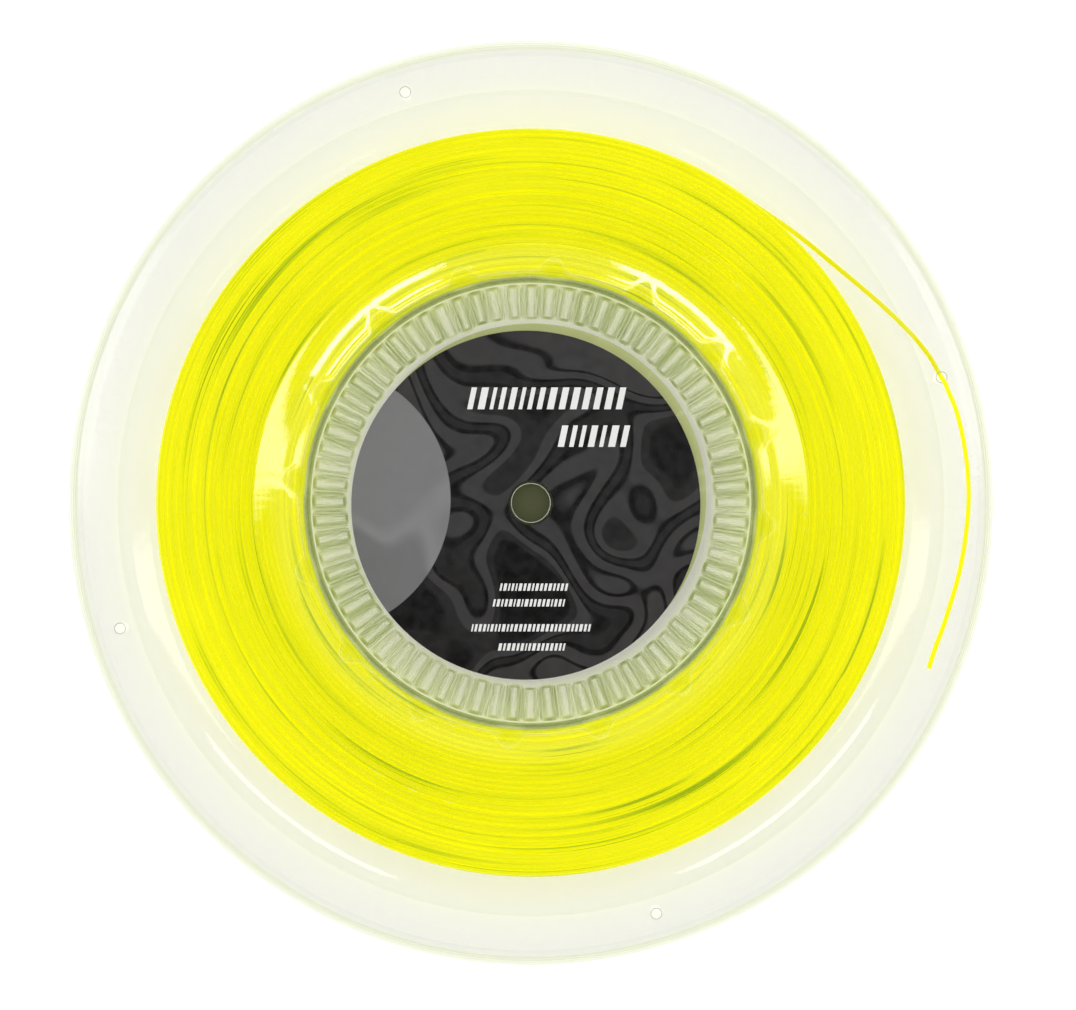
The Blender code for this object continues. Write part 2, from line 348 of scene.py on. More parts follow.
def round_noise(nodes, link, around, outwards, detail):
    """Noise stretched round the reel's axis: its scale per radian round the axis, and per metre
    away from it and along it."""
    flat, reach = from_axis(nodes, link)
    heading = calculate(nodes, link, "VectorMath", "NORMALIZE", flat)
    parts = nodes.new("ShaderNodeSeparateXYZ")
    link(nodes.new("ShaderNodeTexCoord").outputs["Object"], parts.inputs[0])
    depth = calculate(nodes, link, "Math", "ADD", reach, parts.outputs["Z"])
    upright = nodes.new("ShaderNodeCombineXYZ")
    link(depth.outputs[0], upright.inputs["Z"])
    place = calculate(nodes, link, "VectorMath", "ADD", heading.outputs["Vector"],
                      upright.outputs[0])
    stretched = calculate(nodes, link, "VectorMath", "MULTIPLY", place.outputs["Vector"],
                          (around, around, outwards))
    noise = add_noise(nodes, link, 1.0, detail)
    link(stretched.outputs["Vector"], noise.inputs["Vector"])
    return noise


def clear_plastic(name, flange_mirror):
    """Thin clear sheet: it lets light straight through and mirrors more of it towards grazing.
    The ribbed ring is wrinkled from its forming, and the outer flange is less polished, with
    flange_mirror as the share of light that it mirrors face on."""
    made, nodes, link = new_material(name)
    wrinkled = by_radius(nodes, link, [
        (0.0, 0.01),
        (0.0465, 0.01),
        (0.0482, 0.80),
        (0.0580, 0.80),
        (0.0597, 0.25),
        (0.0607, 0.015),
        (0.12, 0.015),
    ])
    ripple = round_noise(nodes, link, 52.0, 260.0, 4.0)
    ripple.inputs["Roughness"].default_value = 0.62
    bump = nodes.new("ShaderNodeBump")
    bump.inputs["Distance"].default_value = 0.0009
    link(wrinkled.outputs[0], bump.inputs["Strength"])
    link(ripple.outputs["Fac"], bump.inputs["Height"])
    facing = nodes.new("ShaderNodeLayerWeight")
    facing.inputs["Blend"].default_value = 0.5
    link(bump.outputs[0], facing.inputs["Normal"])

    # the sheet's tint, darker towards grazing: partly its own absorption, partly painted shade for
    # the dark lines that refraction draws at bends. Deeper in the ribbed ring and along the rim's
    # cut edge, painted shade of the ring's recess and of the fold
    tint = add_ramp(nodes, link, facing.outputs["Facing"], [
        (0.0, (0.962, 0.961, 0.968)),
        (0.12, (0.954, 0.955, 0.952)),
        (0.45, (0.935, 0.942, 0.895)),
        (0.82, (0.925, 0.937, 0.872)),
        (1.0, (0.600, 0.640, 0.480)),
    ])
    painted_shade_tint = add_ramp(nodes, link, facing.outputs["Facing"], [
        (0.0, (0.980, 0.982, 0.968)),
        (0.10, (0.972, 0.975, 0.948)),
        (0.35, (0.890, 0.905, 0.815)),
        (0.75, (0.740, 0.785, 0.610)),
        (1.0, (0.420, 0.450, 0.340)),
    ])
    painted_shade_place = by_radius(nodes, link, [
        (0.0465, 0.0),
        (0.0478, 1.0),
        (0.0580, 1.0),
        (0.0592, 0.0),
        (0.1178, 0.0),
        (0.1187, 0.45),
        (0.1194, 0.45),
    ])
    tints = mix_colours(nodes, link, painted_shade_place.outputs[0], tint.outputs[0], painted_shade_tint.outputs[0])
    through = nodes.new("ShaderNodeBsdfTransparent")
    link(tints.outputs["Result"], through.inputs["Color"])
    haze = nodes.new("ShaderNodeBsdfDiffuse")
    haze.inputs["Color"].default_value = (0.85, 0.87, 0.82, 1)
    clouded = mix_shaders(nodes, link, through, haze)
    clouded.inputs["Fac"].default_value = 0.003

    # its mirroring
    power = calculate(nodes, link, "Math", "POWER", facing.outputs["Facing"], 5.0)
    polish = by_radius(nodes, link, [
        (0.0425, 0.045),
        (0.0445, 0.012),
        (0.0472, 0.012),
        (0.0490, 0.045),
        (0.074, 0.045),
        (0.092, flange_mirror),
    ])
    mirror = nodes.new("ShaderNodeMapRange")
    mirror.inputs["To Max"].default_value = 0.14
    link(power.outputs[0], mirror.inputs["Value"])
    link(polish.outputs[0], mirror.inputs["To Min"])
    gloss = nodes.new("ShaderNodeBsdfGlossy")
    gloss.inputs["Color"].default_value = (1, 1, 1, 1)
    rough = add_range(nodes, link, add_noise(nodes, link, 60.0, 4.0).outputs["Fac"], 0.03, 0.06)
    link(rough.outputs[0], gloss.inputs["Roughness"])
    link(bump.outputs[0], gloss.inputs["Normal"])
    mix = mix_shaders(nodes, link, clouded, gloss)
    link(mirror.outputs[0], mix.inputs["Fac"])
    link(mix.outputs[0], nodes["output"].inputs["Surface"])
    return made


def pale_edge_painted_highlight():
    """Pale, scattering plastic on the punched edges, a painted highlight for their glints: most of
    it scatters, the rest lets light by.
    """
    made, nodes, link = new_material("pale_edge_painted_highlight")
    painted_highlight_scatter = nodes.new("ShaderNodeBsdfDiffuse")
    tone = add_noise(nodes, link, 900.0, 2.0)
    colour = add_ramp(nodes, link, tone.outputs["Fac"], [
        (0.3, (0.50, 0.52, 0.44)),
        (0.7, (0.68, 0.70, 0.61)),
    ])
    link(colour.outputs[0], painted_highlight_scatter.inputs["Color"])
    through = nodes.new("ShaderNodeBsdfTransparent")
    mix = mix_shaders(nodes, link, painted_highlight_scatter, through)
    mix.inputs["Fac"].default_value = 0.4
    link(mix.outputs[0], nodes["output"].inputs["Surface"])
    return made


def yellow_string(name, wound):
    """Fluorescent monofilament: saturated, glossy, and slightly uneven along its length. The wound
    string carries painted shade: darker and greener bands round the axis, the shade between its
    layers."""
    made, nodes, link = new_material(name)
    shader = nodes.new("ShaderNodeBsdfPrincipled")
    tone = add_noise(nodes, link, 45.0, 3.0)
    colour = add_ramp(nodes, link, tone.outputs["Fac"], [
        (0.30, (0.865, 0.820, 0.001)),
        (0.70, (0.900, 0.848, 0.0015)),
    ])
    if wound:
        # painted shade: the string turns darker and greener in bands round the axis, the shade
        # between layers; the glow follows the same bands
        layers = round_noise(nodes, link, 0.9, 800.0, 2.0)
        shade = add_ramp(nodes, link, layers.outputs["Fac"], [
            (0.28, (0.44, 0.58, 1.0)),
            (0.36, (0.79, 0.86, 1.0)),
            (0.42, (0.98, 0.985, 1.0)),
            (0.60, (1.0, 1.0, 1.0)),
        ])
        shaded = nodes.new("ShaderNodeMix")
        shaded.data_type = "RGBA"
        shaded.blend_type = "MULTIPLY"
        shaded.inputs["Factor"].default_value = 1.0
        link(colour.outputs[0], shaded.inputs["A"])
        link(shade.outputs[0], shaded.inputs["B"])
        link(shaded.outputs["Result"], shader.inputs["Base Color"])
        glow = add_ramp(nodes, link, layers.outputs["Fac"], [
            (0.28, (0.387, 0.539, 0.0)),
            (0.36, (0.695, 0.800, 0.0)),
            (0.42, (0.862, 0.916, 0.0)),
            (0.60, (0.880, 0.930, 0.0)),
        ])
        link(glow.outputs[0], shader.inputs["Emission Color"])
    else:
        link(colour.outputs[0], shader.inputs["Base Color"])
        shader.inputs["Emission Color"].default_value = (0.88, 0.86, 0.0, 1)
    rough = add_range(nodes, link, add_noise(nodes, link, 45.0, 2.0).outputs["Fac"], 0.24, 0.36)
    link(rough.outputs[0], shader.inputs["Roughness"])
    shader.inputs["Specular IOR Level"].default_value = 0.15
    shader.inputs["Emission Strength"].default_value = STRING_PAINTED_GLOW if wound else FREE_END_PAINTED_GLOW
    link(shader.outputs[0], nodes["output"].inputs["Surface"])
    return made


def label_print_with_painted_reflection():
    """Gloss black print, with soft grey contour shapes that are a painted reflection of the label's
    waviness, and a pale lens-shaped field on the left.
    """
    made, nodes, link = new_material("label_print_with_painted_reflection")
    shader = nodes.new("ShaderNodeBsdfPrincipled")
    shapes = add_noise(nodes, link, 25.0, 0.0, 1.2)
    shapes.inputs["Roughness"].default_value = 0.3
    black, dark, grey = (0.004, 0.0035, 0.0035), (0.017, 0.016, 0.016), (0.043, 0.041, 0.042)
    # painted reflection: grey contour bands in the black, where the wavy label would mirror the
    # room
    tones = add_ramp(nodes, link, shapes.outputs["Fac"], [
        (0.350, black),
        (0.372, dark),
        (0.405, dark),
        (0.412, grey),
        (0.455, grey),
        (0.463, black),
        (0.474, black),
        (0.482, dark),
        (0.515, dark),
        (0.523, black),
        (0.540, black),
        (0.550, grey),
        (0.610, grey),
        (0.618, black),
        (0.630, black),
        (0.640, grey),
    ])
    where = nodes.new("ShaderNodeTexCoord").outputs["Object"]
    reach = calculate(nodes, link, "VectorMath", "DISTANCE", where, (-0.0560, 0.0010, MID_PLANE))
    field = nodes.new("ShaderNodeMapRange")
    field.inputs["From Min"].default_value = 0.0352
    field.inputs["From Max"].default_value = 0.0350
    link(reach.outputs["Value"], field.inputs["Value"])
    pale = add_ramp(nodes, link, shapes.outputs["Fac"], [
        (0.40, (0.17, 0.17, 0.175)),
        (0.47, (0.235, 0.235, 0.24)),
        (0.56, (0.20, 0.20, 0.205)),
    ], "EASE")
    mix = mix_colours(nodes, link, field.outputs[0], tones.outputs[0], pale.outputs[0])
    link(mix.outputs["Result"], shader.inputs["Base Color"])
    rough = add_range(nodes, link, add_noise(nodes, link, 400.0, 3.0).outputs["Fac"], 0.16, 0.26)
    link(rough.outputs[0], shader.inputs["Roughness"])
    bump = nodes.new("ShaderNodeBump")
    bump.inputs["Strength"].default_value = 0.15
    bump.inputs["Distance"].default_value = 0.001
    link(add_noise(nodes, link, 60.0, 1.0).outputs["Fac"], bump.inputs["Height"])
    link(bump.outputs[0], shader.inputs["Normal"])
    link(shader.outputs[0], nodes["output"].inputs["Surface"])
    return made


def label_backing():
    """The rear label's glued side, seen through both floors: olive, with painted shade that makes
    it darker under the hole, and a painted glow that stands in for light coming through the paper."""
    made, nodes, link = new_material("label_backing")
    shader = nodes.new("ShaderNodeBsdfPrincipled")
    outwards = nodes.new("ShaderNodeMapRange")
    outwards.inputs["From Min"].default_value = 0.008
    outwards.inputs["From Max"].default_value = 0.040
    link(from_axis(nodes, link)[1], outwards.inputs["Value"])
    # painted shade: darker near the axis, under the hole, where the backing lies in shade
    colour = add_ramp(nodes, link, outwards.outputs[0], [
        (0.0, (0.066, 0.072, 0.031)),
        (1.0, (0.72, 0.76, 0.35)),
    ])
    link(colour.outputs[0], shader.inputs["Base Color"])
    link(colour.outputs[0], shader.inputs["Emission Color"])
    shader.inputs["Emission Strength"].default_value = BACKING_PAINTED_GLOW
    rough = add_range(nodes, link, add_noise(nodes, link, 200.0).outputs["Fac"], 0.5, 0.7)
    link(rough.outputs[0], shader.inputs["Roughness"])
    shader.inputs["Specular IOR Level"].default_value = 0.15
    link(shader.outputs[0], nodes["output"].inputs["Surface"])
    return made


def plain_print(name, low, high, roughness):
    """A print that varies a little between two tones."""
    made, nodes, link = new_material(name)
    shader = nodes.new("ShaderNodeBsdfPrincipled")
    tone = add_noise(nodes, link, 80.0, 3.0)
    link(add_ramp(nodes, link, tone.outputs["Fac"], [(0.3, low), (0.7, high)]).outputs[0],
         shader.inputs["Base Color"])
    shader.inputs["Roughness"].default_value = roughness
    link(shader.outputs[0], nodes["output"].inputs["Surface"])
    return made


# ---------------------------------------------------------------- clear half shells
def fillet(before, corner, after, radius, steps):
    """An arc of that radius that rounds a corner of an outline."""
    before, corner, after = Vector(before), Vector(corner), Vector(after)
    arrive, leave = (corner - before).normalized(), (after - corner).normalized()
    turn = arrive.angle(leave)
    if turn < 0.001:
        return [corner]
    reach = radius * tan(turn / 2)
    start, end = corner - arrive * reach, corner + leave * reach
    bisector = (leave - arrive).normalized()
    centre = corner + bisector * (radius / cos(turn / 2))
    first, last = start - centre, end - centre
    points = []
    for step in range(steps + 1):
        share = step / steps
        spread = (sin((1 - share) * turn) * first + sin(share * turn) * last) / sin(turn)
        points.append(centre + spread)
    return points


def dome(start, end, first_slope, last_slope, steps):
    """Points from start to end, the slope changing evenly, scaled to reach end's height."""
    shares = np.linspace(0, 1, steps + 1)
    rise = first_slope * shares + (last_slope - first_slope) * shares**2 / 2
    rise *= 1 / rise[-1]
    return [
        Vector((start[0] + share * (end[0] - start[0]), start[1] + part * (end[1] - start[1])))
        for share, part in zip(shares, rise)
    ]


def dome_height(radius):
    """The rounded shoulder between the drum's edge and the flat of the flange. Its slope grows
    from nothing at the edge to its steepest at one radius, then fades to nothing at the flat."""
    first = DOME_STEEPEST_RADIUS - DRUM_RADIUS
    second = FLAT_INNER_RADIUS - DOME_STEEPEST_RADIUS
    steepest = 2 * (DRUM_HEIGHT - FLAT_HEIGHT) / (first + second)
    if radius < DOME_STEEPEST_RADIUS:
        return DRUM_HEIGHT - steepest * (radius - DRUM_RADIUS) ** 2 / (2 * first)
    return FLAT_HEIGHT + steepest * (FLAT_INNER_RADIUS - radius) ** 2 / (2 * second)


def slope_run(start_radius):
    """The shoulder from that radius down to the flat, with a fine bead along the drum's edge."""
    edge = (start_radius, dome_height(start_radius))
    bead = (start_radius + BEAD_WIDTH / 2, dome_height(start_radius) + BEAD_RISE)
    places = np.linspace(start_radius + BEAD_WIDTH, FLAT_INNER_RADIUS, 12)
    return [Vector(edge), Vector(bead), *(Vector((place, dome_height(place))) for place in places)]


def shell_outline(reach):
    """The sheet's outer face from spindle hole to rim. reach: how far a gusset stands out."""
    drum = DRUM_RADIUS + reach
    foot = (DRUM_FOOT_RADIUS, FLOOR_HEIGHT)
    wall_share = (NOTCH_FOOT_HEIGHT - FLOOR_HEIGHT) / (DRUM_HEIGHT - FLOOR_HEIGHT)
    notch_foot_radius = DRUM_FOOT_RADIUS + wall_share * (DRUM_RADIUS - DRUM_FOOT_RADIUS)
    notch_foot = (notch_foot_radius, NOTCH_FOOT_HEIGHT)
    shoulder = slope_run(drum)
    flat_end = (FLAT_OUTER_RADIUS, FLAT_HEIGHT)
    rise = dome(flat_end, (STEP_RADIUS, STEP_HEIGHT), 0.0, STEP_SLOPE, 8)
    lip_inner = (LIP_INNER_RADIUS, LIP_HEIGHT)
    lip_outer = (RIM_RADIUS, LIP_HEIGHT)
    rim = (RIM_RADIUS, LIP_HEIGHT - RIM_DROP - RIM_EDGE)
    floor_places = [SPINDLE_HOLE_RADIUS, SPINDLE_HOLE_RADIUS + HOLE_MARGIN, *FLOOR_PLACES]
    outline = [(radius, FLOOR_HEIGHT) for radius in floor_places]
    rib_end_in = np.linspace(RIB_INNER_RADIUS, RIB_INNER_RADIUS + RIB_END, 4)
    rib_end_out = np.linspace(RIB_OUTER_RADIUS - RIB_END, RIB_OUTER_RADIUS, 4)
    ribbed = [*rib_end_in, *RIB_PLACES, *rib_end_out]
    outline += [(radius, FLOOR_HEIGHT) for radius in ribbed]
    outline += fillet(outline[-1], foot, notch_foot, FOOT_FILLET, 2)
    outline += [notch_foot]
    outline += fillet(notch_foot, tuple(shoulder[0]), tuple(shoulder[1]), DRUM_FILLET, 4)
    outline += shoulder[1:-1]
    outline += [shoulder[-1], *((radius, FLAT_HEIGHT) for radius in FLAT_PLACES)]
    outline += rise[:-1]
    outline += fillet(tuple(rise[-2]), tuple(rise[-1]), lip_inner, STEP_FILLET, 2)
    outline += fillet(tuple(rise[-1]), lip_inner, lip_outer, LIP_FILLET, 3)
    outline += [(radius, LIP_HEIGHT) for radius in LIP_PLACES]
    outline += fillet(lip_inner, lip_outer, rim, RIM_DROP, 6)
    outline += [rim]
    return np.array([tuple(point) for point in outline])


def below(outline, distance):
    """The parallel outline that distance below, with its corners mitred."""
    runs = np.diff(outline, axis=0)
    runs /= np.linalg.norm(runs, axis=1)[:, None]
    sides = np.column_stack([runs[:, 1], -runs[:, 0]])
    before = np.vstack([sides[:1], sides])
    after = np.vstack([sides, sides[-1:]])
    lean = 1 + (before * after).sum(axis=1)
    return outline + distance * (before + after) / np.maximum(lean, 0.6)[:, None]


def rib_height(radius, angle):
    """How far a rib stands out of the sheet. The ribs are wide pills with narrow grooves between,
    each a little off in place, width, height and length, as forming leaves them."""
    pitch = tau / RIB_COUNT
    rib = np.floor(angle / pitch).astype(int) % RIB_COUNT
    centre, width, rise, inner = (uneven[rib] for uneven in rib_unevenness)
    start = RIB_INNER_RADIUS + RIB_UNEVEN_END * inner
    enter = np.clip((radius - start) / RIB_END, 0, 1)
    leave = np.clip((RIB_OUTER_RADIUS - radius) / RIB_END, 0, 1)
    ends = np.sin(enter * pi / 2) * np.sin(leave * pi / 2)
    half_width = RIB_SHARE * (1 + RIB_UNEVEN_WIDTH * width) * pitch / 2
    off = np.abs(angle % pitch - pitch * (0.5 + RIB_UNEVEN_PLACE * centre)) / half_width
    full_rise = RIB_RISE * (1 + RIB_UNEVEN_RISE * rise)
    return full_rise * ends * (1 - np.clip(off, 0, 1) ** RIB_EDGE)


def half_shell(name, side, material, node):
    """A closed grid: the outline out along the outer face and back along the inner, turned."""
    angles = np.arange(SHELL_STEPS) * tau / SHELL_STEPS
    pitch = tau / GUSSET_COUNT
    off = np.abs((angles + pitch / 2) % pitch - pitch / 2)
    bulge = (1 + np.cos(pi * np.clip(off / GUSSET_HALF_ANGLE, 0, 1))) / 2
    plain, notched = shell_outline(0), shell_outline(GUSSET_REACH)
    plain = np.vstack([plain, below(plain, SHEET)[::-1]])
    notched = np.vstack([notched, below(notched, SHEET)[::-1]])
    outline = plain[:, None, :] + bulge[None, :, None] * (notched - plain)[:, None, :]
    radius = outline[:, :, 0]
    rib_angles = angles[None, :] + (side - 1) * RIB_SHIFT / 2
    height = side * (outline[:, :, 1] + rib_height(radius, rib_angles))
    turned = angles + PATTERN_ANGLE
    x, y = radius * np.cos(turned), radius * np.sin(turned)
    vertices = np.stack([x, y, MID_PLANE + height], axis=2)
    rows, columns = radius.shape
    index = np.arange(rows * columns).reshape(rows, columns)
    right = np.roll(index, -1, axis=0)
    faces = np.stack([index, right, np.roll(right, -1, axis=1), np.roll(index, -1, axis=1)], axis=2)
    faces = faces.reshape(-1, 4)[:, ::side]
    piece = mesh_piece(name, vertices.reshape(-1, 3), faces, material, node, 50)
    drill(piece)
    piece.modifiers.new("flat_faces_stay_flat", "WEIGHTED_NORMAL").keep_sharp = True
    print("%s: %d faces" % (name, len(piece.data.polygons)))
    return piece


def drill(piece):
    """Cuts the small holes through the lip."""
    bm = bmesh.new()
    for index in range(RIM_HOLE_COUNT):
        turn = Matrix.Rotation(PATTERN_ANGLE + tau * index / RIM_HOLE_COUNT, 4, "Z")
        place = Matrix.Translation((RIM_HOLE_CIRCLE, 0, MID_PLANE))
        bmesh.ops.create_cone(bm, cap_ends=True, segments=32, radius1=RIM_HOLE_RADIUS,
                              radius2=RIM_HOLE_RADIUS, depth=3 * MID_PLANE, matrix=turn @ place)
    mesh = bpy.data.meshes.new("drill")
    bm.to_mesh(mesh)
    bm.free()
    cutter = bpy.data.objects.new("drill", mesh)
    bpy.context.scene.collection.objects.link(cutter)
    holes = piece.modifiers.new("rim_holes", "BOOLEAN")
    holes.operation = "DIFFERENCE"
    holes.solver = "MANIFOLD"
    holes.object = cutter
    graph = bpy.context.evaluated_depsgraph_get()
    drilled = bpy.data.meshes.new_from_object(piece.evaluated_get(graph))
    piece.modifiers.clear()
    piece.data = drilled
    bpy.data.objects.remove(cutter)


def finish_holes(material):
    """The fine raised edge that punching leaves round the spindle hole and the lip's holes, made
    pale as a painted highlight of its glints.
    """
    top = MID_PLANE + LIP_HEIGHT
    rings = [
        (0, 0, MID_PLANE + FLOOR_HEIGHT, SPINDLE_HOLE_RADIUS + SPINDLE_EDGE_GAP, SPINDLE_EDGE),
    ]
    for index in range(RIM_HOLE_COUNT):
        angle = PATTERN_ANGLE + tau * index / RIM_HOLE_COUNT
        x, y = RIM_HOLE_CIRCLE * cos(angle), RIM_HOLE_CIRCLE * sin(angle)
        rings.append((x, y, top - PUNCH_RAISE, RIM_HOLE_RADIUS + PUNCHED_EDGE, PUNCHED_EDGE))
    sides, steps = 10, 48
    across, around = np.meshgrid(np.arange(sides) * tau / sides, np.arange(steps) * tau / steps,
                                 indexing="ij")
    vertices, faces = [], []
    for x, y, height, radius, thickness in rings:
        reach = radius + thickness * np.cos(across)
        ring = np.stack([x + reach * np.cos(around), y + reach * np.sin(around),
                         height + thickness * np.sin(across)], axis=2)
        index = np.arange(across.size).reshape(across.shape) + across.size * len(vertices)
        ahead = np.roll(index, -1, axis=1)
        corners = [index, ahead, np.roll(ahead, -1, axis=0), np.roll(index, -1, axis=0)]
        quads = np.stack(corners, axis=2)
        vertices.append(ring.reshape(-1, 3))
        faces.append(quads.reshape(-1, 4))
    mesh_piece("punched_edges", np.concatenate(vertices), np.concatenate(faces), material,
               sharp=60)


# ---------------------------------------------------------------- string
def tube(points, twist):
    """Vertices and faces of a closed tube along points. twist: the section's turn at each."""
    ahead = np.gradient(points, axis=0)
    ahead /= np.linalg.norm(ahead, axis=1)[:, None]
    level = np.cross(ahead, (0, 0, 1))
    level /= np.linalg.norm(level, axis=1)[:, None]
    upright = np.cross(level, ahead)
    rings = []
    for side in range(STRING_SIDES):
        angle = (twist + side * tau / STRING_SIDES)[:, None]
        outward = np.cos(angle) * level + np.sin(angle) * upright
        rings.append(points + STRING_DIAMETER / 2 * outward)
    vertices = np.stack(rings, axis=1).reshape(-1, 3)
    index = np.arange(len(vertices)).reshape(-1, STRING_SIDES)
    near, far = index[:-1], index[1:]
    sides = np.stack([near, np.roll(near, -1, axis=1), np.roll(far, -1, axis=1), far], axis=2)
    return vertices, [*sides.reshape(-1, 4).tolist(), index[0][::-1].tolist(), index[-1].tolist()]


# The winding's limits for the string's centre line: radius and height from the mid-plane
DRUM_FACE = [(0.0, 0.05942), (0.0061, 0.06070), (0.00875, 0.06290)]
EDGE_HEIGHT = 0.00872
LAYER_COUNT = 28
TURN_PITCH = 0.00130
LAYER_SHIFT = 0.00032      # how far a layer may lie from even spacing
SETTLE_RANGE = 0.0007      # how far a layer's edge turns may lie below the others
EDGE_TURN = 0.93           # share of a turn that lies along a flange before the string turns back
CLIMB_TURN = 0.2           # share of a turn over which it climbs to the next layer
LEAVE_TURN = 0.12          # share of the last turn over which it leaves for the free end
TURN_SPREAD = 0.35         # how much the layers' counts of turns differ
INNER_MARGIN = 0.0004      # between the drum's face and the first layer's middle
OUTER_MARGIN = 0.0002      # between the last layer and the pack's radius
WAVER_RATES = [0.73, 1.37, 2.11, 3.27]      # per radian, so that no two turns lie alike
WAVER_SIZE = 0.00010
SINK_SIZE = 0.00011
SEEN_TURNS = 2.1           # turns at each edge of a layer that can be seen, and are made finely
HIDDEN_STEPS = 48
SEEN_STEPS = 180
PIECE_COUNT = 4


def layer_width(radius):
    """How far from the mid-plane the drum lets a layer of that radius reach."""
    heights = [height for height, _ in DRUM_FACE]
    radii = [face for _, face in DRUM_FACE]
    return min(EDGE_HEIGHT, np.interp(radius, radii, heights)) if radius > radii[0] else 0.0


def winding_layers():
    """(first turn, last turn, radius, half width, direction) of each layer, drum outwards."""
    layers, turn = [], 0.0
    first = DRUM_FACE[0][1] + INNER_MARGIN
    last = PACK_RADIUS - STRING_DIAMETER / 2 - OUTER_MARGIN
    for index, radius in enumerate(np.linspace(first, last, LAYER_COUNT)):
        width = layer_width(radius)
        turns = 2 * width / TURN_PITCH + 1 + random.uniform(-TURN_SPREAD, TURN_SPREAD)
        shift = random.uniform(-LAYER_SHIFT, LAYER_SHIFT) if 0 < index < LAYER_COUNT - 1 else 0
        layers.append((turn, turn + turns, radius + shift, width, 1 if index % 2 else -1))
        turn += turns
    return layers


def winding_line():
    """The string's centre line on the drum, from the inner end to the outer."""
    layers = winding_layers()
    total = layers[-1][1]
    progress = []
    for first, last, radius, width, direction in layers:
        edges = [(first, first + SEEN_TURNS), (last - SEEN_TURNS, last)]
        turn = first
        while turn < last:
            seen = layers[-1][0] <= turn or any(low <= turn < high for low, high in edges)
            progress.append(turn)
            turn += 1 / (SEEN_STEPS if seen else HIDDEN_STEPS)
    progress = np.array(progress + [total])
    radius = np.zeros_like(progress)
    height = np.zeros_like(progress)
    edge = np.zeros_like(progress)
    settled = np.zeros_like(progress)
    for index, (first, last, layer, width, direction) in enumerate(layers):
        inside = (progress >= first) & (progress <= last)
        along = progress[inside] - first
        turns = last - first
        across = np.clip((along - EDGE_TURN) / max(turns - 2 * EDGE_TURN, 0.01), 0, 1)
        height[inside] = direction * width * (2 * across - 1)
        following = layers[index + 1][2] if index + 1 < len(layers) else layer
        climb = np.clip((along - (turns - CLIMB_TURN)) / CLIMB_TURN, 0, 1)
        radius[inside] = layer + (following - layer) * climb**2 * (3 - 2 * climb)
        edge[inside] = (across <= 0) | (across >= 1)
        settled[inside] = random.uniform(0, SETTLE_RANGE)
    angle = TAIL_ROUTE[0][0] * pi / 180 + tau * (total - progress)
    waver = np.zeros_like(progress)
    sink = settled
    for rate in WAVER_RATES:
        waver += np.sin(rate * angle + random.uniform(0, tau)) * WAVER_SIZE
        sink += np.sin(1.31 * rate * angle + random.uniform(0, tau)) * SINK_SIZE
    radius = radius + waver
    height = height - np.sign(height) * np.abs(sink) * edge
    ease = np.clip((progress - total + LEAVE_TURN) / LEAVE_TURN, 0, 1)
    ease = ease**2 * (3 - 2 * ease)
    radius = np.minimum(radius, PACK_RADIUS - STRING_DIAMETER / 2)
    radius = radius + ease * (TAIL_ROUTE[0][1] - radius)
    height = height + ease * (TAIL_ROUTE[0][2] - height)
    height = np.clip(height, -EDGE_HEIGHT, EDGE_HEIGHT)
    return np.column_stack([radius * np.cos(angle), radius * np.sin(angle), MID_PLANE + height])


def measured(points):
    """Distance along a line at each of its points."""
    steps = np.linalg.norm(np.diff(points, axis=0), axis=1)
    return np.concatenate([[0], np.cumsum(steps)])


def wind_string(material):
    points = winding_line()
    along = measured(points)
    print("string on the drum: %.1f m" % along[-1])
    twist = (along - along[-1]) * WOUND_TWIST
    cuts = np.searchsorted(along, np.linspace(0, along[-1], PIECE_COUNT + 1))
    cuts[-1] = len(points) - 1
    for number, (start, end) in enumerate(zip(cuts, cuts[1:]), 1):
        part = slice(start, end + 1)
        vertices, faces = tube(points[part], twist[part])
        name = "string_turns_%d" % number
        mesh_piece(name, vertices, faces, material, "string_winding", 75)
    return along[-1]


def smooth_route(points, spacing):
    """Points at about that spacing along a centripetal Catmull-Rom curve through the given ones."""
    points = [Vector(point) for point in points]
    padded = [2 * points[0] - points[1], *points, 2 * points[-1] - points[-2]]
    fine = []
    for p0, p1, p2, p3 in zip(padded, padded[1:], padded[2:], padded[3:]):
        t1 = (p1 - p0).length ** 0.5
        t2 = t1 + (p2 - p1).length ** 0.5
        t3 = t2 + (p3 - p2).length ** 0.5
        for t in np.linspace(t1, t2, 20, endpoint=False):
            t = float(t)
            a1 = p0.lerp(p1, t / t1)
            a2 = p1.lerp(p2, (t - t1) / (t2 - t1))
            a3 = p2.lerp(p3, (t - t2) / (t3 - t2))
            b1, b2 = a1.lerp(a2, t / t2), a2.lerp(a3, (t - t1) / (t3 - t1))
            fine.append(b1.lerp(b2, (t - t1) / (t2 - t1)))
    fine = np.array([tuple(point) for point in [*fine, points[-1]]])
    along = measured(fine)
    places = np.linspace(0, along[-1], int(along[-1] / spacing) + 1)
    return np.column_stack([np.interp(places, along, fine[:, axis]) for axis in range(3)])


def thread_tail(material):
    route = [
        (radius * cos(radians(angle)), radius * sin(radians(angle)), MID_PLANE + height)
        for angle, radius, height in TAIL_ROUTE
    ]
    points = smooth_route(route, 0.0008)
    along = measured(points)
    vertices, faces = tube(points, along * STRING_TWIST)
    piece = mesh_piece("free_end", vertices, faces, material, "string_tail", 75)
    print("free end: %.1f mm" % (1000 * along[-1]))


# ---------------------------------------------------------------- labels
LABEL_HOLE = 0.00585
CLOSED_HOLE = 0.00002      # the rear label isn't punched: its grid only has to end near the axis
LABEL_WAVE = 0.00008
PRINT_RAISE = 0.00004
PRINT_DEPTH = 0.00012
PRINT_LEAN = 0.21          # of the bars, as a share of their height
BAR_FACES = [(4, 5, 6, 7), (3, 2, 1, 0), (0, 1, 5, 4), (1, 2, 6, 5), (2, 3, 7, 6), (3, 0, 4, 7)]


